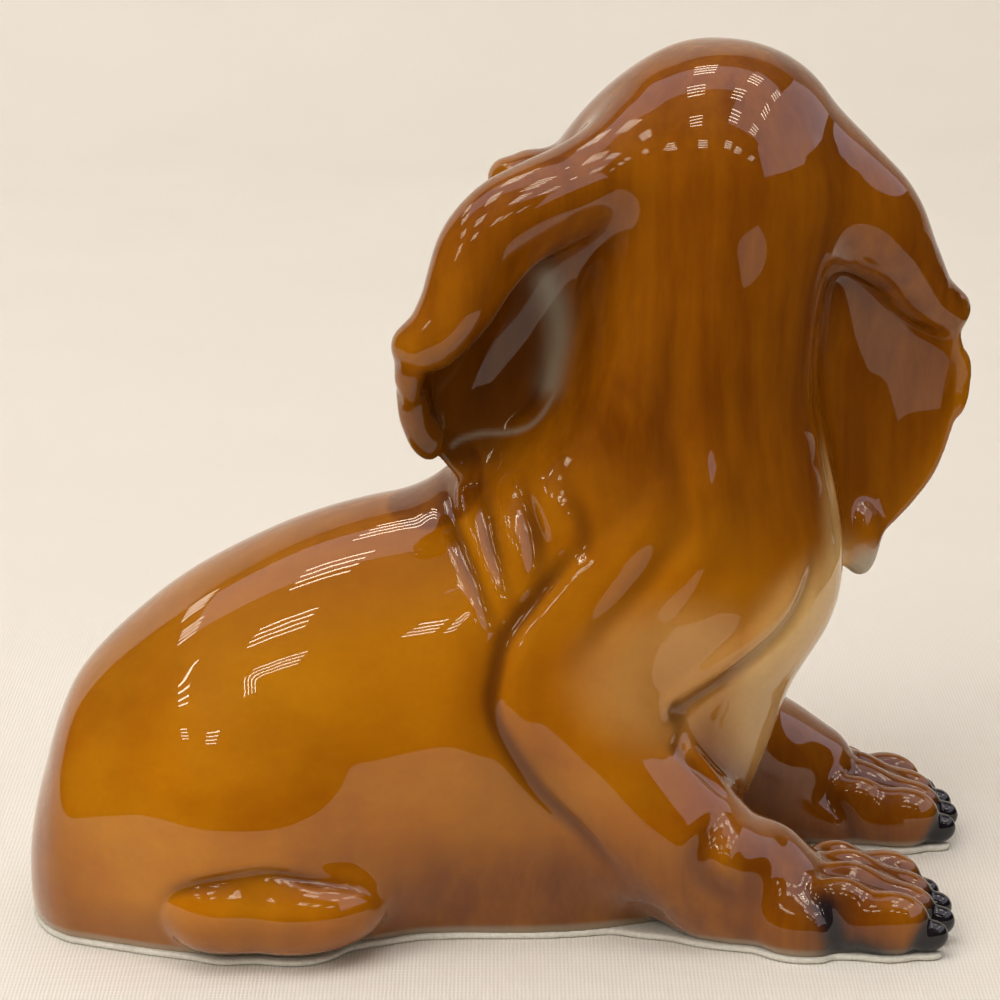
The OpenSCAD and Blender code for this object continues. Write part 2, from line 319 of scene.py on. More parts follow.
def slope(A, P, e=0.6):
    """Gradient of the field at points."""
    G = np.empty((len(P), 3))
    for a in range(3):
        d = np.zeros(3)
        d[a] = e
        G[:, a] = (sample(A, P + d) - sample(A, P - d)) / (2 * e)
    return G


# ---- the forms --------------------------------------------------------------------------
SLAB = 1.6  # thickness of the base slab
HEAD = np.array([34.0, 8.0, 117.8])  # centre of the skull
YAW = math.radians(135.0)
PITCH = math.radians(13.0)
_f = np.array([math.cos(YAW) * math.cos(PITCH), math.sin(YAW) * math.cos(PITCH), -math.sin(PITCH)])
_l = np.array([-math.sin(YAW), math.cos(YAW), 0.0])
HB = np.array([_f, _l, np.cross(_f, _l)])  # head axes as rows: forward, left, up


def hp(u, v, w):
    """A point given in the head's own axes."""
    return HEAD + u * HB[0] + v * HB[1] + w * HB[2]


def in_head(mesh):
    """A mesh given in the head's own axes."""
    return turned(mesh, lambda p: HEAD + p @ HB)


BW = 28.0  # half width of the barrel
barrel_rows = [
    [-75.1, -2, 6.4, 1.6, 1.8], [-74.8, -2, 6.6, 5.6, 6], [-73.9, -2, 8.2, 10, 9.8],
    [-72.2, -2, 10.4, 14.6, 14.8], [-69.6, -2, 13.2, 18.8, 20.4], [-65.8, -2, 15.4, 0.77 * BW, 25.2],
    [-58, -1.5, 18.5, 0.89 * BW, 30], [-47, -1, 22.5, BW, 34], [-31, 0, 26.5, 1.03 * BW, 37.5],
    [-15, 1, 29.5, 1.01 * BW, 38.5], [0, 2, 32, 0.94 * BW, 37], [14, 3, 33, 0.86 * BW, 34]]
column_rows = [
    [6, 3, -6, 25, 19], [8, 4, 10, 29, 22], [12, 5, 25, 31, 24], [15.7, 6, 36, 31.2, 26],
    [19.8, 6, 47, 33.3, 26.4], [21.8, 6, 56, 32.9, 25.8], [22.6, 6, 66, 30.9, 24], [23.5, 6, 74, 28.2, 22],
    [27, 6, 84, 22.6, 19.8], [29.5, 6, 95, 20.6, 18.8], [31.5, 6, 106, 20, 18.4], [33.5, 6.5, 117, 18.6, 17.6]]
skull_rows = [
    [-18.8, 0, 1.6, 1.6, 1.6], [-18.45, 0, 1.6, 4.8, 4.8], [-17.2, 0, 1.6, 9.6, 9.4],
    [-14.4, 0, 1.6, 13.8, 13.4], [-10, 0, 1.5, 17, 16.5],
    [-4, 0, 1.3, 19.2, 18.6], [3, 0, 0.9, 20, 19.4], [12, 0, -0.4, 19.6, 17.8], [21, 0, -3.0, 18, 15.2],
    [29, 0, -6.2, 15, 12.4], [38, 0, -9.4, 11.2, 9.8], [46.5, 0, -11.4, 9.9, 8.4]]
left_leaf = [
    [[20, -1, 122], [18, 0, 103], 4.4, 1.5], [[11.4, -6, 118.5], [11, -1, 90], 4.4, 4],
    [[3.5, -11.5, 115], [4, -2, 79], 4.2, 6.5], [[-4, -15.5, 109.5], [-3, -4, 73], 4, 7],
    [[-8.4, -18, 101.5], [-9.2, -7, 75], 3.8, 5.5], [[-13.2, -19.5, 95.5], [-14, -13, 82.5], 3.6, 2.5]]
left_roll = [
    [21, 0, 121.5, 7.5, 7.5], [11.4, -6, 118.6, 6.8, 6.2], [6.2, -9.6, 117, 6.6, 6], [0.7, -12.6, 114.6, 6.5, 6],
    [-3.4, -15, 111.2, 6.1, 5.4], [-5.8, -17, 106.4, 5.6, 4.9], [-7.6, -18, 102, 5.2, 4.5],
    [-10, -19, 98.4, 4.6, 4], [-13, -19.5, 96.2, 3.8, 3.4]]
left_lip = [
    [10, -5, 112.4, 2.8, 2.6], [3.2, -9.8, 109, 2.8, 2.6], [-1, -12.8, 104.2, 2.8, 2.5],
    [-4.4, -15.4, 99.8, 2.6, 2.3], [-9.6, -18.2, 95.6, 2.2, 2]]
right_leaf = [
    [[50, 7, 122], [46, 9, 96], 4.4, 2], [[56.2, 8, 117.5], [49, 11, 73], 4.4, 4.5],
    [[62.2, 10, 109.6], [55.5, 14.5, 54], 4.2, 7], [[67, 13, 100.5], [62.6, 18, 57.5], 4, 7],
    [[72.4, 16, 92], [70, 19.5, 66], 3.8, 4], [[74.2, 18, 87], [73.4, 19, 76], 3.6, 1.2]]
right_roll = [
    [43, 12, 116, 7, 7.5], [49.5, 10.5, 116, 9, 8.8], [54.8, 9.6, 113, 9.2, 8.6], [59.4, 10.5, 108.4, 7.8, 7.8],
    [63.8, 13, 102.6, 5.9, 5.7], [67.6, 15.5, 97.2, 4.6, 4.4], [71.6, 17, 94.2, 3.5, 3.3]]
right_arm = [
    [16, -4, 50, 11, 12], [13, -9, 40, 13, 13], [15, -12.5, 30.5, 13.2, 12.8],
    [23.5, -15, 19, 12.6, 12], [33, -16, 11.5, 11.2, 10.4], [40, -16, 8.8, 10.4, 8.6]]
left_arm = [
    [20, 14, 48, 11, 12], [22, 19, 38, 12, 12.5], [28, 23, 29, 12, 12.5],
    [37, 27, 18.5, 12, 12], [45, 29.5, 13.4, 11, 11], [50.5, 31, 10, 10.2, 9.4]]
paw_rows = [[-17, 0, 8, 10.2, 8.6], [-9, 0, 6, 11.4, 7.2], [0, 0, 5.2, 12, 6.6], [5, 0, 4.4, 10.8, 5.2]]
tail_rows = [
    [-66, 8, 7, 6, 6], [-61, 18, 6.4, 5.3, 5.2], [-51, 27, 5.6, 4.7, 4.6], [-38, 32.5, 4.8, 3.9, 3.9],
    [-25, 34, 4, 2.9, 3], [-15, 33, 3.4, 1.9, 2.2]]


def put(at, deg, k=1.0):
    """A move that scales by k, turns about the vertical and shifts."""
    a = math.radians(deg)
    M = np.array([[math.cos(a), math.sin(a), 0], [-math.sin(a), math.cos(a), 0], [0, 0, 1]])
    return lambda p: np.asarray(at) + (np.asarray(p, float) * k) @ M


def toes(F, to, side, k=1.0):
    """Knuckles, toes, side pad and claws of a paw; the claws are returned."""
    claws = []
    four = (-1.5, -0.5, 0.5, 1.5)
    for i in four:
        back = abs(i) * 1.5
        knuckle = k * np.array([4.8, 3, 4.6 - 0.5 * abs(i)])
        toe = k * np.array([6.4, 3.4 + 0.25 * abs(i), 4.3 + 0.6 * abs(i)])
        add(F, to([-2.4 - back, i * 5.5, 9]), knuckle, 2.0 * k)
        add(F, to([5.4 - back, i * 6.1, 5.1 + 0.4 * abs(i)]), toe, 1.4 * k)
    add(F, to([-9.5, side * 8.6, 4.6]), k * np.array([7.5, 4.6, 5.4]), 2.5 * k)
    for i in (-1, 0, 1):
        y = i * 5.8
        stroke(F, [[*to([-6, y * 0.92, 12]), 1.2, 0.5], [*to([-1.5, y, 11.5]), 1, 0.9], to([4, y * 1.04, 9]),
                   to([9.5, y * 1.06, 5]), to([11, y * 1.06, 1.5])], 0.95 * k, 1.5 * k)
    for q in (side, -side):
        stroke(F, [[*to([-9.5, q * 8.5, 10]), 1.2, 0.4], to([-6.4, q * 11, 6.5]), to([-5, q * 11.8, 2])],
               1.2 * k, 1.7 * k)
    for i in four:
        back = abs(i) * 1.5
        c = to([11.2 - back, i * 6.15, 3.9])
        r = k * np.array([3.5, 2.0, 2.7])
        add(F, c, r, 0.5 * k)
        stroke(F, [to([9.6 - back, i * 6.15 + y, 5.6 - abs(y) * 0.9]) for y in (-1.9, -1, 0, 1, 1.9)],
               0.55 * k, 0.5 * k)
        claws.append((c, r))
    return claws


def wall(F, pts, s):
    """Points of the surface seen from the side s of the figure, from x, z[, shares]."""
    out = []
    for p in pts:
        i, k = int(round(p[0] / H)) - I0[0], int(round(p[1] / H)) - I0[2]
        inside = np.where(F[i, :, k] <= max(0.0, float(F[i, :, k].min())))[0]
        j = inside[0] if s < 0 else inside[-1]
        out.append([p[0], (j + I0[1]) * H, p[1], *p[2:]])
    return out


def folds(F):
    """The puppy's loose skin: creases and folds of neck, shoulder, elbow and chest."""
    e = (1, 0.2)  # a faded end: full width, a fifth of the amount
    elbow_near = [(12, 64.5, *e), (5.4, 56.2), (0.8, 50.5), (-0.8, 44.6), (-1.2, 39.8), (0.8, 34.6),
                  (6.2, 26.4), (12.4, 20.1)]
    elbow_far = [(13, 62, *e), (7, 53), (3.6, 45), (3.8, 37.4), (8.6, 29.4), (15.4, 23), (22, 15, *e)]
    near_side = [
        # valley and crease behind the elbow, with the fold that runs beside it
        (elbow_near + [(18.6, 12.9), (23, 6)], 4.6, 1.2),
        (elbow_near + [(18.6, 12.9, *e)], 1.1, 1.2),
        ([(15, 64, *e), (8.6, 55.6), (4, 49.7), (2.2, 44.4), (1.9, 39.8), (3.8, 35.6, *e)], 1.6, -1.1),
        # loose folds where the neck meets the back
        ([(-9.8, 72.4, *e), (-6.8, 65.6), (-3, 58), (-0.8, 51.2, *e)], 1.3, 1.3),
        ([(-8.3, 73, *e), (-5.4, 67.4), (-2.3, 60.6), (0.4, 53.2, *e)], 1.2, -1.2),
        ([(-5.2, 71.4, *e), (-3.6, 67.6), (-2.2, 63.4, *e)], 0.8, -0.5),
        ([(-2.8, 71.6, *e), (-0.9, 64), (1.3, 56, *e)], 1.6, 1.3),
        ([(0, 71, *e), (1.8, 64.4), (3.6, 57.4, *e)], 2.5, -1.4),
        ([(3.8, 72, *e), (5.4, 65), (5.4, 58.6, *e)], 1.6, 1.3),
        ([(5.8, 75.4, *e), (7.8, 70), (10, 64.6, *e)], 2.8, -1.3),
        ([(10, 73, *e), (12.6, 67.6), (13, 62.4, *e)], 1.4, 0.9),
        # where the near ear meets the neck
        ([(5.6, 92, *e), (6, 87), (4, 83), (0, 80.6, *e)], 0.7, 0.8),
        # shoulder
        ([(25.2, 72.6, *e), (19.6, 65), (13.4, 57.4), (7.4, 49.4, *e)], 2.6, -1.2),
        ([(27.5, 67, *e), (22.6, 59.6), (16.4, 53), (10.4, 46.4, *e)], 1.8, 0.6),
        ([(33, 74.5, *e), (32.6, 67), (27.6, 60), (20.4, 53, *e)], 2.6, -0.6),
        # broad muscles of the neck
        ([(17, 89, *e), (19.6, 84.6), (21.6, 79, *e)], 3.4, -1.3),
        ([(28.4, 79, *e), (31, 73.4), (33, 66, *e)], 3.2, -1.2),
        ([(24, 82, *e), (26.6, 76), (27.4, 69, *e)], 2.2, 0.7),
        ([(21.8, 103, *e), (18.4, 90), (14, 79, *e)], 4.4, -0.7),
        ([(30, 101, *e), (31.6, 88), (32.6, 77, *e)], 4.4, -0.6),
        ([(25.4, 100, *e), (25.4, 88), (24, 76, *e)], 3.0, 0.4),
        # inside of the elbow
        ([(27.2, 38.8), (28.2, 36), (27.6, 33)], 1.1, 1.3),
        ([(25, 34.5, *e), (30.4, 29), (34.6, 24.4, *e)], 0.9, 0.7),
        ([(28.8, 34.4, *e), (33.6, 28.4), (37.2, 23.4, *e)], 0.9, 0.7),
        ([(27, 34.5, *e), (32, 28.8), (36, 24, *e)], 1.0, -0.5),
        # wrist
        ([(33.6, 22, *e), (31, 17.5), (32.4, 12.6), (37.5, 9.6, *e)], 1.6, 1.2),
        ([(36.4, 20.5, *e), (34.6, 16.6), (37, 13, *e)], 1.8, -0.9),
    ]
    far_side = [
        (elbow_far, 1.3, 1.3),
        (elbow_far, 4.2, 1.1),
        ([(16.4, 61, *e), (10.4, 52), (7, 44.6), (7.2, 38, *e)], 1.7, -0.9),
        ([(-6, 71, *e), (-2.6, 64), (0.6, 57, *e)], 1.4, 1.0),
        ([(-1.6, 73, *e), (2.4, 66), (6, 59, *e)], 1.8, -0.9),
        ([(3, 74, *e), (7, 67), (10, 61, *e)], 1.4, 1.0),
        ([(26, 70, *e), (22, 62), (16.6, 54), (12, 48, *e)], 2.2, -0.9),
        ([(31, 68, *e), (27, 60), (21, 52, *e)], 1.6, 0.8),
        ([(46, 56, *e), (45, 49.6), (40, 45), (34, 41, *e)], 1.4, 1.1),
        ([(-52, 36, *e), (-40, 41), (-28, 38), (-19, 29), (-15, 18, *e)], 2.4, 0.9),
    ]
    # throat, and the fold across the chest
    stroke(F, [[47, 3, 102, 1, 0.2], [48.6, 4, 92], [50, 3, 82], [51.6, 1, 72], [53, -1, 60, 1, 0.3]], 1.4, 1.1)
    stroke(F, [[46.6, -6, 59, 1, 0.2], [44.8, -10.5, 51.5], [37, -15.6, 44.4], [30, -18.4, 39.6],
               [26, -19.6, 36.6, 1, 0.4]], 1.3, 1.6)
    stroke(F, [[44.4, -8, 58.6, 1, 0.2], [42.4, -12.4, 52.6], [35.4, -16.4, 46.6], [27, -19.6, 40.4, 1, 0.4]],
           2.0, -1.0)
    for s, group in ((-1, near_side), (1, far_side)):
        for pts, w, a in group:
            stroke(F, wall(F, pts, s), w, a)


def mouth(s):
    """The line of the mouth, from the middle to the side s."""
    return [hp(51.6, 0, -14.2), hp(50, s * 4.5, -15.8), hp(45, s * 8.8, -16.4), hp(38.5, s * 10.6, -15)]


def face(F):
    """A plain young dog's face: brows, eyes, cheeks, muzzle, nose and mouth."""
    for s in (1, -1):
        add(F, hp(29, s * 15, 3.2), [6.4, 5, 4.8], 5, HB)  # brow
        add(F, hp(20, s * 12.5, -7.5), [9, 6.5, 7.5], 8, HB)  # cheek
        add(F, hp(43.5, s * 4.8, -12.6), [7.2, 5.6, 5.6], 4, HB)  # upper lip
        cut(F, hp(34.8, s * 13.8, 0.6), [5.2, 4.2, 4.2], 5, HB)  # eye socket
    add(F, hp(40, 0, -17.4), [9, 6.2, 3.6], 4, HB)  # chin
    add(F, hp(34, 0, -5), [9, 5, 7], 6, HB)  # bridge of the nose
    stroke(F, [[*hp(33, 0, 3), 1, 0.2], hp(26, 0, 9), hp(18, 0, 14), [*hp(8, 0, 18), 1, 0.1]], 3.4, 0.9)
    eyes = []
    around = np.linspace(0, 2 * math.pi, 13)
    for s in (1, -1):
        # a, b, n: along the lids, up and out of the eye, in the head's own axes
        n = unit([0.66, s * 0.70, 0.25])
        a = unit(np.cross([0, 0, 1], n)) * s
        b = np.cross(n, a) * s
        b = b if b[2] > 0 else -b
        c = np.array([30.7, s * 12.2, 0.4])
        loc = np.array([a, b, n]) @ HB
        add(F, hp(*(c - n * 0.2)), [3.9, 3.1, 2.9], 0.7, loc)
        # the lid's ridge, and the groove between lid and eyeball
        for out, wide, high, lift, width, amount in ((1.7, 4.3, 3.1, 0.5, 0.75, -0.85),
                                                     (2.2, 3.55, 2.45, 0.4, 0.55, 0.7)):
            stroke(F, [hp(*(c + n * out + a * wide * math.cos(t)
                            + b * (high * math.sin(t) + lift * math.cos(t) ** 2))) for t in around], width, amount)
        stroke(F, [[*hp(27, s * 16, 5.5), 1, 0.3], hp(30, s * 14, 5.6), hp(34, s * 10, 4.8),
                   [*hp(36.5, s * 7, 2), 1, 0.2]], 1.5, 0.8)
        stroke(F, [[*hp(27, s * 16, -5), 1, 0.2], hp(31, s * 14, -4.6), [*hp(36, s * 10.5, -3), 1, 0.2]], 1.6, 0.7)
        eyes.append((hp(*(c + n * 0.3)), loc))
    # nose, mouth
    add(F, hp(49.2, 0, -7.4), [3.9, 4.7, 3.6], 1.0, HB)
    for s in (1, -1):
        cut(F, hp(52.2, s * 2.5, -7.6), [2, 1.15, 1], 0.6, HB)
        stroke(F, [hp(52, s * 4.2, -9.2), hp(50, s * 5, -7), hp(47.5, s * 4.8, -5.2)], 0.6, 0.5)
        stroke(F, mouth(s) + [[*hp(32.5, s * 12.4, -12), 1.3, 0.6]], 0.8, 1.25)
        for q in ((47, 7.6, -11), (44, 9, -11.4), (45.5, 8.6, -13.6)):
            stroke(F, [hp(q[0], s * q[1], q[2]), hp(q[0] - 0.3, s * q[1], q[2])], 0.5, 0.35)
    stroke(F, [hp(52.6, 0, -9.6), hp(52.2, 0, -12), hp(51.4, 0, -14.4)], 0.65, 0.9)
    return eyes


def sculpt():
    """Every component's own field, and the joined figure."""
    parts = {}
    barrel = field(tube(barrel_rows, axis=(1, 0, 0), l0=0.1, l1=0.6, m=160))
    column = field(tube(column_rows, ref=(0, 1, 0), axis=(0, 0, 1), l0=0.2, l1=0.5, m=160))
    parts["torso_shell"] = smin(barrel, column, 9.0)
    del barrel, column
    for s, name in ((-1, "right_hind_leg"), (1, "left_hind_leg")):
        h = field(tube([
            [-63, s * 7 - 1, 13, 7, 9], [-56, s * 12 - 1, 16, 12.5, 16], [-46, s * 15.6 - 1, 19, 15.3, 20.4],
            [-34, s * 15.6, 18, 15.6, 19.4], [-24, s * 12.6, 15.4, 13, 14]], axis=(1, 0, 0), l0=0.8, l1=0.8))
        if s < 0:
            add(h, [-42.6, -26.8, 9.2], [8.6, 8, 6.8], 1.0)
            add(h, [-32, -26.8, 8.8], [13, 8.2, 6.8], 2.0)
            stroke(h, [[-52.4, -28, 8, 1, 0.5], [-50.4, -29, 12], [-45, -31, 15.2], [-36, -32, 16.6],
                       [-27, -31, 15], [-19, -28, 11.2, 1, 0.5]], 1.2, 1.5)
        else:
            foot = field(tube([[-44, 22, 6, 7, 7], [-34, 24.4, 6, 7.8, 7], [-25, 26.4, 5, 7.2, 5.8]], axis=(1, 0, 0)))
            h = smin(h, foot, 3.0)
        parts[name] = h
    claws_h = toes(parts["left_hind_leg"], put([-24, 27.2, 0], 3, 0.66), 1, 0.66)
    arm = field(tube(right_arm, ref=(0, -1, 0.01)))
    to_r = put([57.6, -16, 0], -2)
    R = parts["right_foreleg"] = smin(arm, field(turned(tube(paw_rows, l1=0.9), to_r)), 3.5)
    add(R, [35.5, -21, 15], [5.5, 5, 4.6], 4)  # wrist
    claws_r = toes(R, to_r, -1)
    arm = field(tube(left_arm, ref=(0, 1, 0.01)))
    to_l = put([63.4, 32, 0], 4)
    L = parts["left_foreleg"] = smin(arm, field(turned(tube(paw_rows, l1=0.9), to_l)), 3.0)
    claws_l = toes(L, to_l, 1)
    parts["tail"] = field(tube(tail_rows))
    parts["head_shell"] = field(in_head(tube(skull_rows, axis=(1, 0, 0), l0=0.1, l1=0.5, m=128)))
    parts["left_ear"] = smin(field(leaf(left_leaf, (0, 1, 0))), field(tube(left_roll, n=5)), 2.0)
    parts["left_ear"] = smin(parts["left_ear"], field(tube(left_lip)), 6.0)
    for c, r in (([-13.6, -17, 90.6], [1.7, 2.4, 4.2]), ([-12.5, -14, 84], [1.9, 2.4, 4.4]),
                 ([-10.8, -12.6, 80], [2.3, 2.6, 3.2])):
        add(parts["left_ear"], c, r, 3)
    parts["right_ear"] = smin(field(leaf(right_leaf, (0, 1, 0))), field(tube(right_roll)), 2.0)
    add(parts["right_ear"], [58.6, 16.5, 56], [2.6, 2.6, 5.6], 2.0)
    # the joined figure: the last number is the reach of each blend
    F = smin(parts["torso_shell"], parts["right_hind_leg"], 8.0)
    F = smin(F, parts["left_hind_leg"], 6.0)
    F = smin(F, parts["head_shell"], 8.0)
    eyes = face(F)
    F = smin(F, parts["right_foreleg"], 5.0)
    F = smin(F, parts["left_foreleg"], 5.0)
    F = smin(F, parts["tail"], 2.0)
    F = smin(F, parts["left_ear"], 4.0)
    F = smin(F, parts["right_ear"], 6.0)
    folds(F)
    return parts, F, claws_r + claws_l + claws_h, eyes


# ---- build ------------------------------------------------------------------------------
LIMBS = ["left_ear", "right_ear", "right_foreleg", "left_foreleg", "right_hind_leg", "left_hind_leg", "tail"]
SEAM_Z = 96.0  # height of the seam between head and torso
SEAM_LIP = 2.0  # how far the wall at a seam turns inwards
slab_lo, slab_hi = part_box("base_slab")
DESIGN_LO = np.array([-74.51, -27.84, 0.0])  # the slab's low corner in the sculpting frame
K = 0.001 * (slab_hi[2] - slab_lo[2]) / (SLAB * 0.001)  # metres a sculpting millimetre
MID = np.array([slab_lo[0] / K, slab_lo[1] / K, 0.0]) - DESIGN_LO


def world(P):
    """Sculpting millimetres to the shared frame's metres."""
    return (np.asarray(P, float) + MID) * K


def smooth(a, b, x):
    """Smooth step from 0 at a to 1 at b."""
    t = np.clip((x - a) / (b - a), 0, 1)
    return t * t * (3 - 2 * t)


def split(A, T, h):
    """Cuts a triangle mesh along h = 0. Returns rows, triangles below, triangles above."""
    h = np.where(np.abs(h) < 0.02, np.where(h < 0, -0.02, 0.02), h)
    s = h > 0
    n = s[T].sum(1)
    low, high = T[n == 0], T[n == 3]
    mix = T[(n == 1) | (n == 2)]
    if not len(mix):
        return A, low, high
    sm = s[mix]
    one = sm.sum(1) == 1
    lone = np.where(one, sm.argmax(1), (~sm).argmax(1))
    r = np.arange(len(mix))
    a, b, c = mix[r, lone], mix[r, (lone + 1) % 3], mix[r, (lone + 2) % 3]
    e = np.sort(np.concatenate([np.stack([a, b], 1), np.stack([a, c], 1)]), 1)
    key, inv = np.unique(e[:, 0].astype(np.int64) * len(A) + e[:, 1], return_inverse=True)
    i, j = key // len(A), key % len(A)
    t = (h[i] / (h[i] - h[j]))[:, None]
    A2 = np.vstack([A, A[i] * (1 - t) + A[j] * t])
    ab, ac = inv[:len(mix)] + len(A), inv[len(mix):] + len(A)
    tip = np.stack([a, ab, ac], 1)
    rest = np.concatenate([np.stack([ab, b, c], 1), np.stack([ab, c, ac], 1)])
    one2 = np.concatenate([one, one])
    high = np.concatenate([high, tip[one], rest[~one2]])
    low = np.concatenate([low, tip[~one], rest[one2]])
    return A2, low, high


def compact(A, T):
    """The rows that the triangles use, and the triangles renumbered."""
    used, inv = np.unique(T, return_inverse=True)
    return A[used], inv.reshape(T.shape)


def linked(name, data):
    """A new object in the scene."""
    ob = bpy.data.objects.new(name, data)
    bpy.context.collection.objects.link(ob)
    return ob


def piece(node, A, T):
    """One glazed piece, in place of its node, from rows of position, normal and glaze masks."""
    A, T = compact(A, T)
    P, N, C = A[:, :3], A[:, 3:6], A[:, 6:14]
    N = N / (np.linalg.norm(N, axis=1)[:, None] + 1e-9)
    # the wall at every seam: the open edge turned inwards
    E = np.concatenate([T[:, [0, 1]], T[:, [1, 2]], T[:, [2, 0]]])
    key = np.sort(E, 1)
    key = key[:, 0].astype(np.int64) * len(P) + key[:, 1]
    _, first, count = np.unique(key, return_index=True, return_counts=True)
    rim = E[first[count == 1]]
    F = T
    if len(rim):
        ids, inv = np.unique(rim, return_inverse=True)
        inv = inv.reshape(rim.shape)
        n0 = len(P)
        inner = P[ids] - N[ids] * SEAM_LIP
        P2 = np.vstack([P, P[ids], inner])
        a, b = inv[:, 0] + n0, inv[:, 1] + n0
        m = len(ids)
        band = np.concatenate([np.stack([b, a, a + m], 1), np.stack([b, a + m, b + m], 1)])
        fn = np.cross(P2[band[:, 1]] - P2[band[:, 0]], P2[band[:, 2]] - P2[band[:, 0]])
        WN = np.zeros_like(P2)
        for q in range(3):
            np.add.at(WN, band[:, q], fn)
        WN[:n0] = N
        WN /= np.linalg.norm(WN, axis=1)[:, None] + 1e-12
        P, N = P2, WN
        C = np.vstack([C, C[ids], C[ids]])
        F = np.concatenate([T, band])
    me = bpy.data.meshes.new(node)
    me.vertices.add(len(P))
    me.vertices.foreach_set("co", world(P).astype(f32).ravel())
    me.loops.add(len(F) * 3)
    me.loops.foreach_set("vertex_index", F.astype(np.int32).ravel())
    me.polygons.add(len(F))
    me.polygons.foreach_set("loop_start", np.arange(0, len(F) * 3, 3, dtype=np.int32))
    me.update(calc_edges=True)
    me.polygons.foreach_set("use_smooth", np.ones(len(F), bool))
    me.normals_split_custom_set_from_vertices([tuple(x) for x in N.tolist()])
    # first attribute: russet with painted shade, cream, black with painted shade, crease shade; second: pale tints
    # with a painted highlight, painted ear shade, ridges with painted highlight
    for key_, part in (("glaze", C[:, :4]), ("tints_and_painted_light", C[:, 4:])):
        at = me.attributes.new(key_, "FLOAT_COLOR", "POINT")
        at.data.foreach_set("color", np.clip(part, 0, 1).astype(f32).ravel())
    me.materials.append(GLAZE)
    ob = linked(node, me)
    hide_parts(node)
    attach(ob, "root")


# ---- glazes -----------------------------------------------------------------------------
def nodes_of(name):
    """A material with a Principled shader: the material, its tree and the shader."""
    m = bpy.data.materials.new(name)
    m.use_nodes = True
    nt = m.node_tree
    nt.nodes.clear()
    out = nt.nodes.new("ShaderNodeOutputMaterial")
    sh = nt.nodes.new("ShaderNodeBsdfPrincipled")
    nt.links.new(sh.outputs[0], out.inputs["Surface"])
    return m, nt, sh


def nn(nt, kind, **inputs):
    """A new node with constants on its inputs; an underscore stands for a space."""
    n = nt.nodes.new(kind)
    for k, v in inputs.items():
        n.inputs[k.replace("_", " ")].default_value = v
    return n


def mixc(nt, fac, a, b):
    """A mix of two colours."""
    n = nt.nodes.new("ShaderNodeMix")
    n.data_type = "RGBA"
    for sock, v in ((n.inputs[0], fac), (n.inputs[6], a), (n.inputs[7], b)):
        if isinstance(v, (int, float)):
            sock.default_value = v
        elif isinstance(v, tuple):
            sock.default_value = (*v, 1.0)
        else:
            nt.links.new(v, sock)
    return n.outputs[2]


def calc(nt, op, a, b, clamp=False):
    """A sum on two values."""
    n = nt.nodes.new("ShaderNodeMath")
    n.operation = op
    n.use_clamp = clamp
    for i, v in enumerate((a, b)):
        if isinstance(v, (int, float)):
            n.inputs[i].default_value = v
        else:
            nt.links.new(v, n.inputs[i])
    return n.outputs[0]


def noise(nt, vec, scale, detail=3.0, rough=0.5, lo=0.3, hi=0.7):
    """Noise with lo to hi spread over 0 to 1."""
    n = nn(nt, "ShaderNodeTexNoise", Scale=scale, Detail=detail, Roughness=rough)
    nt.links.new(vec, n.inputs["Vector"])
    r = nn(nt, "ShaderNodeMapRange", From_Min=lo, From_Max=hi)
    nt.links.new(n.outputs[0], r.inputs["Value"])
    return r.outputs[0]


def stretched(nt, scale):
    """Object coordinates times a scale."""
    tc = nt.nodes.new("ShaderNodeTexCoord")
    mp = nt.nodes.new("ShaderNodeMapping")
    mp.inputs["Scale"].default_value = scale
    nt.links.new(tc.outputs["Object"], mp.inputs["Vector"])
    return mp.outputs[0]


def lin(r, g, b):
    """sRGB 0 to 255 to linear."""
    return tuple((c / 12.92 if c <= 0.04045 else ((c + 0.055) / 1.055) ** 2.4) for c in (r / 255, g / 255, b / 255))


# each tone's two ends, mixed by a slow cloud
AMBER = lin(180, 110, 5), lin(146, 77, 1)
RUSSET = lin(121, 63, 2), lin(88, 38, 1)
CREAM = lin(222, 184, 122), lin(200, 154, 84)
GREY_GREEN = lin(176, 172, 156), lin(138, 136, 116)
BLACK = lin(10, 13, 22), lin(22, 22, 28)
PORCELAIN = lin(232, 230, 222), lin(206, 204, 194)
CLOTH = lin(221, 217, 208), lin(247, 245, 240)
AMBER_DRIFT = lin(196, 132, 16)
RUSSET_STREAK = lin(150, 88, 6)
# lighter amber where the glaze runs thin on ridges, which also serves as painted highlight
RIDGE_THIN_GLAZE_AND_HIGHLIGHT = lin(190, 126, 12)
# dark brown of the creases: pooled glaze, and painted shade
CREASE_POOL_AND_SHADE = lin(74, 34, 5)
# painted shade inside the ears' hollows
EAR_HOLLOW_SHADE = lin(58, 24, 2)
SPECK = lin(80, 42, 8)
PORCELAIN_GRIT = lin(140, 134, 124)
CLOTH_DRIFT = lin(226, 221, 212)


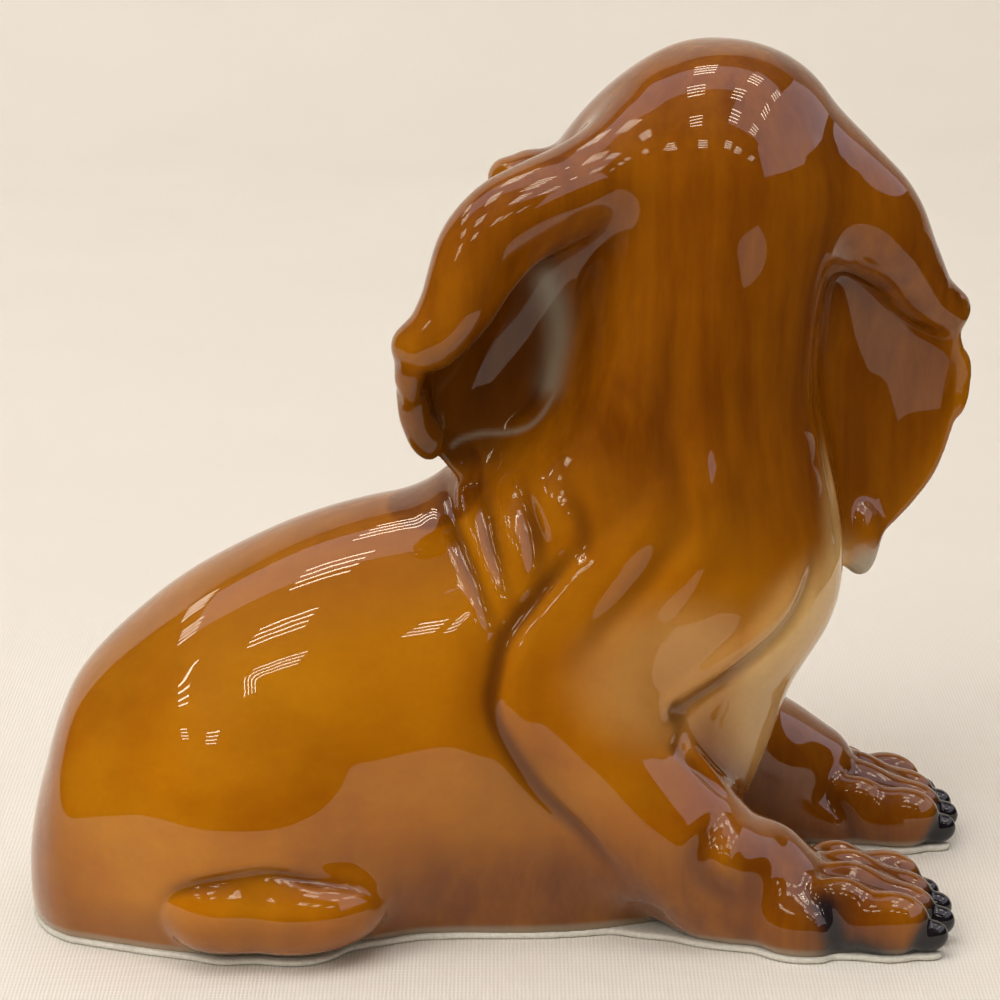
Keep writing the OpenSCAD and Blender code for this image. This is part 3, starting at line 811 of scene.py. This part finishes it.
def glaze():
    """The coloured glaze: tones laid by the masks, among them painted shade and painted highlight, under a clear coat
    in very slight waves.
    """
    m, nt, sh = nodes_of("glaze")
    masks = []
    for key in ("glaze", "tints_and_painted_light"):
        at = nn(nt, "ShaderNodeAttribute")
        at.attribute_name = key
        sep = nn(nt, "ShaderNodeSeparateColor")
        nt.links.new(at.outputs["Color"], sep.inputs[0])
        masks += [sep.outputs[0], sep.outputs[1], sep.outputs[2], at.outputs["Alpha"]]
    russet_and_shade, cream, black, cav_pool_and_shade, pale, ear_hollow_shade, ridge, _ = masks
    plain = stretched(nt, (1, 1, 1))
    brush = stretched(nt, (1, 1, 0.13))
    swirl = stretched(nt, (0.5, 1, 1))
    cloud = noise(nt, plain, 26, 4, 0.55)
    streak = noise(nt, brush, 170, 5, 0.62, 0.36, 0.66)
    drift = noise(nt, swirl, 60, 5, 0.6, 0.38, 0.64)
    fine = noise(nt, plain, 900, 3, 0.6)
    amber = mixc(nt, cloud, *AMBER)
    amber = mixc(nt, calc(nt, "MULTIPLY", drift, 0.45), amber, AMBER_DRIFT)
    red = mixc(nt, cloud, *RUSSET)
    red = mixc(nt, calc(nt, "MULTIPLY", streak, 0.6), red, RUSSET_STREAK)
    # russet: the coat's darker tone, with painted shade low on the body and a painted reflection on the back
    base = mixc(nt, russet_and_shade, amber, red)
    # ridges lighter: thin glaze, and painted highlight
    base = mixc(nt, calc(nt, "MULTIPLY", ridge, 0.6, True), base, RIDGE_THIN_GLAZE_AND_HIGHLIGHT)
    base = mixc(nt, cream, base, mixc(nt, cloud, *CREAM))
    # creases darker: pooled glaze, and painted shade
    base = mixc(nt, calc(nt, "MULTIPLY", cav_pool_and_shade, 0.8, True), base, CREASE_POOL_AND_SHADE)
    # painted shade inside the ears' hollows
    base = mixc(nt, calc(nt, "MULTIPLY", ear_hollow_shade, 0.75), base, EAR_HOLLOW_SHADE)
    base = mixc(nt, pale, base, mixc(nt, cloud, *GREY_GREEN))
    # black: claws, eyes, nose and mouth, and painted shade at the near paw
    base = mixc(nt, black, base, mixc(nt, cloud, *BLACK))
    base = mixc(nt, calc(nt, "MULTIPLY", fine, 0.06), base, SPECK)
    nt.links.new(base, sh.inputs["Base Color"])
    for key, value in (("Roughness", 0.5), ("IOR", 1.45), ("Specular IOR Level", 0.0), ("Coat Weight", 1.0),
                       ("Coat Roughness", 0.025), ("Coat IOR", 1.5)):
        sh.inputs[key].default_value = value
    wave = nn(nt, "ShaderNodeTexNoise", Scale=110, Detail=2)
    nt.links.new(plain, wave.inputs["Vector"])
    bump = nn(nt, "ShaderNodeBump", Strength=0.05, Distance=0.0006)
    nt.links.new(wave.outputs[0], bump.inputs["Height"])
    nt.links.new(bump.outputs[0], sh.inputs["Coat Normal"])
    return m


def bisque():
    """The bare fired body of the foot."""
    m, nt, sh = nodes_of("bare_porcelain")
    v = stretched(nt, (1, 1, 1))
    c = mixc(nt, noise(nt, v, 60, 4), *PORCELAIN)
    c = mixc(nt, calc(nt, "MULTIPLY", noise(nt, v, 1500, 2), 0.25), c, PORCELAIN_GRIT)
    nt.links.new(c, sh.inputs["Base Color"])
    sh.inputs["Roughness"].default_value = 0.7
    return m


# ---- the figure ---------------------------------------------------------------------------
RIM = 0.95  # the bare rim that shows below the glaze
GLAZE = glaze()
BARE = bisque()


def mesh_of(A):
    """Points, triangles and quads of the surface where a field is zero."""
    g = openvdb.FloatGrid(float(BAND * H))
    g.transform = openvdb.createLinearTransform(voxelSize=H)
    g.copyFromArray(A, ijk=tuple(int(x) for x in I0))
    return g.convertToPolygons(0.0, 0.0)


parts, F, claws, eyes = sculpt()
FOOT = blur(F, 0.5)
soft = blur(FOOT, 2.0)
F = np.maximum(FOOT, RIM - axes()[2])
V, tris, quads = mesh_of(F)
V = V.astype(float)
T = np.concatenate([tris.astype(np.int64), quads[:, [0, 1, 2]].astype(np.int64),
                    quads[:, [0, 2, 3]].astype(np.int64)])
for _ in range(2):
    g = slope(F, V, 0.5 * H)
    V -= np.clip(sample(F, V), -0.3, 0.3)[:, None] * g / np.maximum((g * g).sum(1), 0.2)[:, None]
N = slope(F, V, H)
N /= np.linalg.norm(N, axis=1)[:, None] + 1e-9
a, b, c = V[T[:, 0]], V[T[:, 1]], V[T[:, 2]]
if (np.cross(b - a, c - a) * N[T[:, 0]]).sum() < 0:
    T = T[:, ::-1]

X, _, Z = V.T
raw = {n: sample(f, V) for n, f in parts.items()}  # each piece's own distance
in_skull = (V - HEAD) @ HB.T


def near(pts, w, n=6):
    """Softness of the distance to a curve laid onto the surface."""
    P = trace(F, pts, n)[:, :3]
    m = ((V > P.min(0) - 3 * w) & (V < P.max(0) + 3 * w)).all(1)
    Q = V[m]
    best = np.full(len(Q), 1e9)
    for a, b in zip(P[:-1], P[1:]):
        d = b - a
        t = np.clip((Q - a) @ d / (d @ d + 1e-9), 0, 1)[:, None]
        best = np.minimum(best, ((Q - a - t * d) ** 2).sum(1))
    out = np.zeros(len(V))
    out[m] = np.exp(-best / (w * w))
    return out


def away(c, r, P=V):
    """Distance of every point from c, in the half axes r."""
    return np.linalg.norm((P - np.array(c)) / np.array(r), axis=1)


def masks():
    """The glaze's tones, some of them painted shade and painted highlight: where each shows, 0 to 1, for every point
    of the surface.
    """
    ears = np.minimum(raw["left_ear"], raw["right_ear"])
    legs = np.minimum(raw["right_foreleg"], raw["left_foreleg"])
    body = smooth(4, -2, X) * smooth(80, 70, Z)
    hollows = sample(soft, V)
    # lighter on convex ridges: thin glaze there, and painted highlight; the second term is a painted reflection of
    # the pale cloth on the near flank
    ridge = np.maximum(np.clip(hollows * 0.8 - 0.1, 0, 1),
                       0.75 * np.exp(-((V - np.array([-30, -24, 50])) ** 2 * [0.6, 1, 1.3]).sum(1) / 15.0 ** 2))
    behind_ear = np.linalg.norm((V - np.array([-12, -9, 73])) * [0.9, 0.5, 1.1], axis=1)
    # the russet tone carries the coat's darker colour, and also painted shade low on the body and a painted
    # reflection on the back
    russet_and_shade = np.maximum.reduce([
        # darker on the up-facing back: partly the back's own darker colour, partly a painted reflection of the dim
        # room
        0.42 * body * smooth(0.3, 0.75, N[:, 2]),  # back
        smooth(50, 82, Z + 0.35 * (X - 20)) * 0.92,  # neck and head
        0.36 * smooth(-12, 4, X),  # shoulders
        smooth(2.0, -1.0, ears),
        smooth(2, -1, legs) * smooth(34, 10, Z) * 0.75,
        # painted shade low under the belly
        smooth(27, 9, Z - 0.12 * X) * smooth(-34, -12, X) * 0.85,  # belly
        smooth(-60, -73, X) * 0.5,  # rump
        # painted shade: darker all round below 12 mm, near the floor
        smooth(12, 6, Z) * 0.5,
        smooth(9.5, 8.3, behind_ear)])
    chest = smooth(1.3, 0.75, away([47, 2, 40], [17, 23, 19])) * smooth(0.5, 3.5, legs)
    throat = smooth(1.3, 0.6, away([50, 4, 58], [14, 9, 16])) * smooth(2, 5, ears)
    shoulder = smooth(1.4, 0.5, away([27, -19, 44], [15, 14, 11]))
    muzzle = smooth(30, 40, in_skull[:, 0]) * smooth(-8, -14, in_skull[:, 2]) * smooth(88, 92, Z)
    cream = np.maximum.reduce([np.minimum(chest * 0.95 + throat * 0.65, 0.95), shoulder * 0.34, muzzle * 0.3])
    # darker in the surface's creases and hollows: glaze pooled there, and painted shade
    crease = np.clip(-hollows * 1.3 - 0.04, 0, 1) * (1 - 0.5 * cream)
    # painted shade, in black: the cleft beside the near paw's outer toe, and along the underside of the near paw
    paw_cleft_shade = [[50.4, -27, 9], [51.6, -28, 5.4], [52.4, -28, 2.2]]
    shade_under_paw = [[52, -27.6, 2.4], [57, -26.8, 2.4], [63, -24.8, 2.4]]
    black = np.maximum.reduce(
        [smooth(1.7, 0.95, away(c, r + 0.5)) for c, r in claws]
        + [smooth(1.12, 0.98, away([0, 0, 0], [3.5, 2.6, 3.2], (V - c) @ loc.T)) for c, loc in eyes]
        + [smooth(1.1, 0.96, away([49.8, 0, -7.2], [4.3, 5.1, 3.9], in_skull))]
        + [0.75 * near(mouth(s), 0.9) for s in (1, -1)]
        + [near(pts, 3.0) for pts in (paw_cleft_shade, shade_under_paw)])
    pale = np.maximum.reduce([
        0.5 * near([[7.6, -5, 102], [8.4, -4, 95], [7.6, -4, 87]], 2.3),
        # painted highlight: a thin pale line along the neck's edge where it overlaps the near ear
        0.4 * near([[-9, -5, 77], [-4, -7, 79], [1, -8, 81.4], [4, -8, 83.6], [6, -8, 87.5]], 0.5),
        0.8 * smooth(4.4, 2.0, away([58.8, 16, 52.4], [1, 1, 1.3])),  # tip of the right ear
        0.55 * smooth(2.9, 1.9, Z)])
    # painted shade inside the ears' hollows, under their rolls
    in_left = (smooth(3.5, -0.5, raw["left_ear"]) * smooth(103, 98, Z - 0.85 * (X + 2)) * smooth(-4, 3, X + 14)
               * smooth(12, 7, X) * smooth(72, 76, Z))
    in_right = smooth(0.5, -0.5, raw["right_ear"]) * smooth(104, 96, Z) * smooth(66, 52, X)
    return [russet_and_shade, cream, black, crease, pale, np.maximum(in_left, 0.8 * in_right), ridge, np.ones(len(V))]


rows = np.column_stack([V, N, *masks(), *raw.values()])
KEEP = 14  # a point's own columns; the pieces' distances follow
col = {n: KEEP + i for i, n in enumerate(parts)}
rest = T
for n in LIMBS:
    others = np.min([rows[:, col[o]] for o in parts if o != n], axis=0)
    rows, low, high = split(rows, rest, rows[:, col[n]] - others)
    piece(n, rows[:, :KEEP], low)
    rest = high
# the neck seam is level, and drops away under the muzzle
u = (rows[:, :3] - HEAD) @ HB[0]
rows, low, high = split(rows, rest, rows[:, 2] - SEAM_Z + 30 * smooth(27, 36, u))
piece("head_shell", rows[:, :KEEP], high)
piece("torso_shell", rows[:, :KEEP], low)


# ---- the slab -----------------------------------------------------------------------------
def slab():
    """The bare foot of the figure: its own footprint, with the firing vent."""
    k = int(round(2.1 / H)) - I0[2]  # the footprint is the figure's outline 2.1 mm up
    X0, Y0, Z0 = axes()
    # strips of clay left standing beside the forelegs: from, to, half width
    strips = []
    for ax, ay, bx, by, half in ((25.0, 14.0, 47.0, 30.0, 7.0), (24.0, -12.0, 40.0, -12.0, 5.0)):
        t = np.clip(((X0 - ax) * (bx - ax) + (Y0 - ay) * (by - ay)) / ((bx - ax) ** 2 + (by - ay) ** 2), 0, 1)
        strips.append(np.sqrt((X0 - ax - t * (bx - ax)) ** 2 + (Y0 - ay - t * (by - ay)) ** 2) - half)
    D = smin(FOOT[:, :, k:k + 1], np.minimum(*strips).astype(f32), 5.0)
    Zt = Z0[:, :, :int(6 / H)]
    body = smax(np.broadcast_to(D - 0.05, D.shape[:2] + (Zt.shape[2],)), np.abs(Zt - 0.6) - 0.58, 0.3)
    vent = 3.5 - np.sqrt((X0 + 20) ** 2 + Y0 ** 2)
    P, tri, quad = mesh_of(np.ascontiguousarray(np.maximum(body, vent), dtype=f32))
    me = bpy.data.meshes.new("base_slab")
    faces = [tuple(int(v) for v in q) for q in tri] + [tuple(int(v) for v in q) for q in quad]
    me.from_pydata([tuple(p) for p in world(P.astype(float)).tolist()], [], faces)
    me.materials.append(BARE)
    ob = linked("base_slab", me)
    for p in me.polygons:
        p.use_smooth = True
    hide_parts("base_slab")
    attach(ob, "root")


slab()


# ---- stage ----------------------------------------------------------------------------------
def cloth_mat():
    """Pale plain-weave cloth, whose weave fades out behind the figure."""
    m, nt, sh = nodes_of("cloth")
    v = stretched(nt, (1, 1, 1))
    threads = []
    for direction in "XY":
        wave = nn(nt, "ShaderNodeTexWave", Scale=520, Distortion=1.2)
        wave.bands_direction = direction
        nt.links.new(v, wave.inputs["Vector"])
        threads.append(wave.outputs["Fac"])
    sep = nn(nt, "ShaderNodeSeparateXYZ")
    nt.links.new(v, sep.inputs[0])
    fade = nn(nt, "ShaderNodeMapRange", From_Min=0.22, From_Max=0.0)
    nt.links.new(sep.outputs["Y"], fade.inputs["Value"])
    h = calc(nt, "ADD", *threads)
    h = calc(nt, "MULTIPLY", calc(nt, "SUBTRACT", h, 1.0), fade.outputs[0])
    h = calc(nt, "ADD", h, 1.0)
    c = mixc(nt, calc(nt, "MULTIPLY", h, 0.5), *CLOTH)
    c = mixc(nt, calc(nt, "MULTIPLY", noise(nt, v, 14, 3), 0.25), c, CLOTH_DRIFT)
    nt.links.new(c, sh.inputs["Base Color"])
    sh.inputs["Roughness"].default_value = 0.9
    sh.inputs["Specular IOR Level"].default_value = 0.2
    b = nn(nt, "ShaderNodeBump", Strength=0.25, Distance=0.0002)
    nt.links.new(h, b.inputs["Height"])
    nt.links.new(b.outputs[0], sh.inputs["Normal"])
    return m


def stage():
    """The cloth. Only the part near the figure and the sweep behind it show in the glaze."""
    cloth = cloth_mat()
    w, back, up, r = 2.4, 1.15, 1.5, 0.45  # half width, place of the back wall, its height, the bends' radius
    near_y, near_x0, near_x1 = -0.24, -0.9, 0.2  # edges of the part that the glaze reflects

    def bend(n):
        return [(r * math.sin(t), r - r * math.cos(t)) for t in np.linspace(0.1, math.pi / 2, n)]

    xs = (-w, -1.6, near_x0, -0.4, 0.0, near_x1, 1.0, 1.6, w)
    profile = [(y, 0.0) for y in (-w + r, -1.6, -0.8, near_y, 0.0, 0.3, back - r)]
    profile += [(back - r + o, h) for o, h in bend(14)] + [(back, up)]
    sheet = [[(x, y, z) for x in xs] for y, z in profile]
    rise = [(0, 0)] + bend(12) + [(r, up)]
    walls = [[[(-w - o, y, h) for y in (-w + r, -0.8, 0.3, back)] for o, h in rise],
             [[(w + o, y, h) for y in (back, 0.3, -0.8, -w + r)] for o, h in rise],
             [[(x, -w + r - o, h) for x in (w + r, 1.0, -1.0, -w - r)] for o, h in rise]]
    for name, close in (("cloth_near", True), ("cloth_far", False)):
        bm = bmesh.new()
        for net in [sheet] + ([] if close else walls):
            for p, q in zip(net[:-1], net[1:]):
                for i in range(len(p) - 1):
                    x, y = ((np.array(p[i]) + np.array(q[i + 1])) / 2)[:2]
                    shows = near_y < y and (near_x0 < x < near_x1 or (y > back - r and abs(x) < 1.6))
                    if (net is sheet and shows) == close:
                        bm.faces.new([bm.verts.new(v) for v in (p[i], p[i + 1], q[i + 1], q[i])])
        bmesh.ops.remove_doubles(bm, verts=bm.verts, dist=1e-5)
        me = bpy.data.meshes.new(name)
        bm.to_mesh(me)
        bm.free()
        me.materials.append(cloth)
        for p in me.polygons:
            p.use_smooth = True
        ob = linked(name, me)
        ob.visible_glossy = close


def lamps():
    """The room's ceiling with fittings of four tubes, seen only as reflections in the glaze."""
    turn = math.radians(-14)
    rng = np.random.default_rng(7)
    half_length, half_width, spacing = 0.24, 0.014, 0.13  # of the tubes

    def level(x0, x1, y0, y1, z):
        return [(x * math.cos(turn) - y * math.sin(turn), x * math.sin(turn) + y * math.cos(turn), z)
                for x, y in ((x0, y1), (x1, y1), (x1, y0), (x0, y0))]

    tubes = []
    for cx in (-2.0, -0.55, 0.85, 2.2, 3.6):
        for cy in (-2.7, -1.35, -0.25, 0.65):
            x, y = cx + rng.uniform(-0.3, 0.3), cy + rng.uniform(-0.2, 0.2)
            for k in range(4):
                yk = y + (k - 1.5) * spacing
                tubes.append(level(x - half_length, x + half_length, yk - half_width, yk + half_width, 2.2))
    panels = [level(-2.0, 0.7, -0.3, 0.8, 2.21), level(0.7, 6.5, -1.5, 0.9, 2.21),
              [(2.9, -3.0, 1.0), (2.9, 2.2, 1.0), (3.1, 2.2, 2.7), (3.1, -3.0, 2.7)]]
    for name, color, power, rings in (("tube_light", (1.0, 0.88, 0.68), 24.0, tubes),
                                      ("ceiling", (0.84, 0.80, 0.94), 1.5, panels)):
        m = bpy.data.materials.new(name)
        m.use_nodes = True
        nt = m.node_tree
        nt.nodes.clear()
        out = nn(nt, "ShaderNodeOutputMaterial")
        glow = nn(nt, "ShaderNodeEmission", Color=(*color, 1), Strength=power)
        nt.links.new(glow.outputs[0], out.inputs["Surface"])
        bm = bmesh.new()
        for ring in rings:
            bm.faces.new([bm.verts.new(p) for p in ring])
        me = bpy.data.meshes.new(name)
        bm.to_mesh(me)
        bm.free()
        me.materials.append(m)
        ob = linked(name, me)
        ob.visible_diffuse = False
        ob.visible_shadow = False


def sky():
    """The dim warm room, a little lighter overhead."""
    w = bpy.data.worlds.new("room")
    bpy.context.scene.world = w
    w.use_nodes = True
    nt = w.node_tree
    nt.nodes.clear()
    out = nn(nt, "ShaderNodeOutputWorld")
    bg = nn(nt, "ShaderNodeBackground", Strength=1.0)
    tc = nn(nt, "ShaderNodeTexCoord")
    sep = nn(nt, "ShaderNodeSeparateXYZ")
    nt.links.new(tc.outputs["Generated"], sep.inputs[0])
    ramp = nn(nt, "ShaderNodeValToRGB")
    el = ramp.color_ramp.elements
    el[0].position, el[0].color = 0.0, (0.05, 0.034, 0.022, 1)
    el[1].position, el[1].color = 1.0, (0.30, 0.25, 0.26, 1)
    for p, c in ((0.3, (0.06, 0.042, 0.03, 1)), (0.6, (0.09, 0.068, 0.055, 1))):
        el.new(p).color = c
    nt.links.new(sep.outputs["Z"], ramp.inputs[0])
    nt.links.new(ramp.outputs[0], bg.inputs["Color"])
    nt.links.new(bg.outputs[0], out.inputs["Surface"])


def look(ob, loc, target):
    """Places a light or camera and aims it."""
    ob.location = loc
    ob.rotation_euler = (Vector(target) - Vector(loc)).to_track_quat("-Z", "Y").to_euler()


def area(name, loc, target, size, power):
    """A soft warm light that doesn't show in the glaze."""
    d = bpy.data.lights.new(name, "AREA")
    d.shape = "RECTANGLE"
    d.size, d.size_y = size
    d.energy = power
    d.color = (1, 0.95, 0.88)
    ob = linked(name, d)
    look(ob, loc, target)
    ob.visible_glossy = False


stage()
lamps()
sky()
area("soft_top", (-0.25, -0.6, 1.6), (0, 0, 0.05), (1.6, 1.2), 18.2)
area("front_fill", (-0.9, -1.25, 1.05), (-0.1, 0, 0.03), (1.2, 0.9), 12)
area("back_wash", (0.0, 0.45, 1.4), (0, 1.0, 0.3), (2.0, 0.6), 4.2)
area("side_wash", (-1.35, -0.1, 1.5), (-2.6, 0, 0.2), (2.0, 0.6), 14.5)
area("far_wash", (0.9, -1.2, 1.5), (1.6, -2.3, 0.2), (1.6, 0.6), 9)

# ---- camera -----------------------------------------------------------------------------------
ELEVATION = math.radians(15.0)
DISTANCE = 0.600
aim = Vector(world([0, 0, 67.0]))
cam = bpy.data.cameras.new("camera")
cam.lens = 137.16
cam.sensor_width = 36.0
cam.clip_start = 0.01
cam_ob = linked("camera", cam)
look(cam_ob, aim + Vector((0, -math.cos(ELEVATION), math.sin(ELEVATION))) * DISTANCE, aim)
bpy.context.scene.camera = cam_ob
bpy.context.scene.view_settings.view_transform = "Standard"
